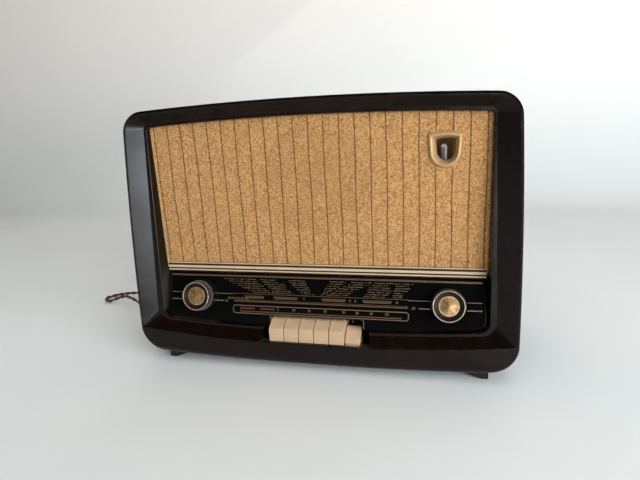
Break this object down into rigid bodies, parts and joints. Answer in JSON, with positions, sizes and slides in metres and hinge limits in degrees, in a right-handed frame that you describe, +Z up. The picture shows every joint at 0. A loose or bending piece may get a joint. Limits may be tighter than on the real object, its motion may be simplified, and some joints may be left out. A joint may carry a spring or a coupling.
{
  "type": "table radio",
  "caption": "Bakelite table radio: moulded cabinet, cloth grille, sloping black glass dial, fluted knobs, piano keys and a valve chassis inside.",
  "frame": {"origin": "middle of the flat part of the cabinet's underside, half way between the front face and the back cover, 8 mm above the table", "axes": "+X towards the tuning knob (to the right seen from the front), +Y towards the back cover, +Z up"},
  "size_m": [0.7032, 0.264, 0.3423],
  "materials": {
    "bakelite": "moulded and polished, near-black brown",
    "grille_fabric": "coarse open weave, tan with darker dots",
    "plywood": "bare birch ply",
    "cream_plastic": "aged cream, satin",
    "dial_glass": "back-painted black, polished",
    "black_steel": "matte black enamel",
    "plated_steel": "zinc plated, dulled",
    "brass": "gold-lacquered, lightly tarnished",
    "clear_glass": "clear blown glass",
    "phosphor": "pale phosphor coating, unlit",
    "aluminium": "satin, lightly oxidised",
    "cone_paper": "dark felted paper",
    "lamination_iron": "varnished",
    "winding_paper": "waxed wrapping",
    "ferrite": "dark grey, matte",
    "hardboard": "pressed fibre, matte",
    "paxolin": "resin-bonded paper, satin",
    "rubber": "matte black",
    "cord_rubber": "brown, matte",
    "pointer_red": "red, satin"
  },
  "bodies": {
    "radio": {"audio_valve": "clear_glass", "back_cover": "hardboard", "baffle_board": "plywood", "cabinet_shell": "bakelite", "chassis": "plated_steel", "dial_glass": "dial_glass", "dial_lamp_left": "clear_glass", "dial_lamp_right": "clear_glass", "dial_plate": "black_steel", "eye_bezel": "brass", "eye_screen": "phosphor", "eye_socket": "bakelite", "eye_tube": "clear_glass", "ferrite_aerial": "ferrite", "foot_front_left": "rubber", "foot_front_right": "rubber", "foot_rear_left": "rubber", "foot_rear_right": "rubber", "grille_cloth": "grille_fabric", "if_amplifier_valve": "clear_glass", "if_transformer_1": "aluminium", "if_transformer_2": "aluminium", "key_bank_frame": "plated_steel", "key_pivot_rod": "plated_steel", "mains_cord": "cord_rubber", "mains_plug": "bakelite", "mains_transformer_coil": "winding_paper", "mains_transformer_core": "lamination_iron", "mixer_valve": "clear_glass", "output_transformer": "lamination_iron", "output_valve": "clear_glass", "pointer_rail": "plated_steel", "rectifier_valve": "clear_glass", "smoothing_capacitor": "aluminium", "socket_plate": "paxolin", "speaker_basket": "plated_steel", "speaker_cone": "cone_paper", "speaker_magnet": "lamination_iron", "trim_bar": "cream_plastic", "tuning_capacitor_frame": "aluminium", "tuning_capacitor_vanes": "aluminium", "volume_control": "aluminium", "waveband_switch": "paxolin"},
    "volume": {"volume_knob": "bakelite", "volume_knob_rim": "brass", "volume_knob_disc": "brass", "volume_shaft": "plated_steel"},
    "tuning": {"tuning_knob": "bakelite", "tuning_knob_rim": "brass", "tuning_knob_disc": "brass", "tuning_shaft": "plated_steel"},
    "drive_drum": {"tuning_drum": "aluminium"},
    "pointer": {"dial_pointer": "pointer_red"},
    "off_key": {"off_key": "cream_plastic"},
    "pickup_key": {"pickup_key": "cream_plastic"},
    "long_wave_key": {"long_wave_key": "cream_plastic"},
    "medium_wave_key": {"medium_wave_key": "cream_plastic"},
    "short_wave_key": {"short_wave_key": "cream_plastic"},
    "fm_key": {"fm_key": "cream_plastic"}
  },
  "joints": [
    {"name": "volume_turn", "type": "hinge", "parent": "radio", "child": "volume", "pos_m": [-0.1624, -0.07508, 0.08222], "axis": [0, 0.9664, -0.2571], "range_deg": [-135, 135]},
    {"name": "tuning_turn", "type": "hinge", "parent": "radio", "child": "tuning", "pos_m": [0.1664, -0.07508, 0.08222], "axis": [0, 0.9664, -0.2571], "range_deg": [-540, 540]},
    {"name": "drum_turn", "type": "hinge", "parent": "radio", "child": "drive_drum", "pos_m": [0.128, -0.013, 0.088], "axis": [0, 1, 0], "range_deg": [-90, 90]},
    {"name": "pointer_travel", "type": "slide", "parent": "radio", "child": "pointer", "axis": [1, 0, 0], "range_m": [-0.0875, 0.0875]},
    {"name": "off_key_press", "type": "hinge", "parent": "radio", "child": "off_key", "pos_m": [-0.04975, -0.041, 0.05], "axis": [1, 0, 0], "range_deg": [0, 15]},
    {"name": "pickup_key_press", "type": "hinge", "parent": "radio", "child": "pickup_key", "pos_m": [-0.02985, -0.041, 0.05], "axis": [1, 0, 0], "range_deg": [0, 15]},
    {"name": "long_wave_key_press", "type": "hinge", "parent": "radio", "child": "long_wave_key", "pos_m": [-0.00995, -0.041, 0.05], "axis": [1, 0, 0], "range_deg": [0, 15]},
    {"name": "medium_wave_key_press", "type": "hinge", "parent": "radio", "child": "medium_wave_key", "pos_m": [0.00995, -0.041, 0.05], "axis": [1, 0, 0], "range_deg": [0, 15]},
    {"name": "short_wave_key_press", "type": "hinge", "parent": "radio", "child": "short_wave_key", "pos_m": [0.02985, -0.041, 0.05], "axis": [1, 0, 0], "range_deg": [0, 15]},
    {"name": "fm_key_press", "type": "hinge", "parent": "radio", "child": "fm_key", "pos_m": [0.04975, -0.041, 0.05], "axis": [1, 0, 0], "range_deg": [-15, 0]}
  ],
  "couplings": [
    {"joint": "drum_turn", "follows": "tuning_turn", "ratio": 0.16429},
    {"joint": "pointer_travel", "follows": "tuning_turn", "m_per_rad": 0.0092}
  ]
}
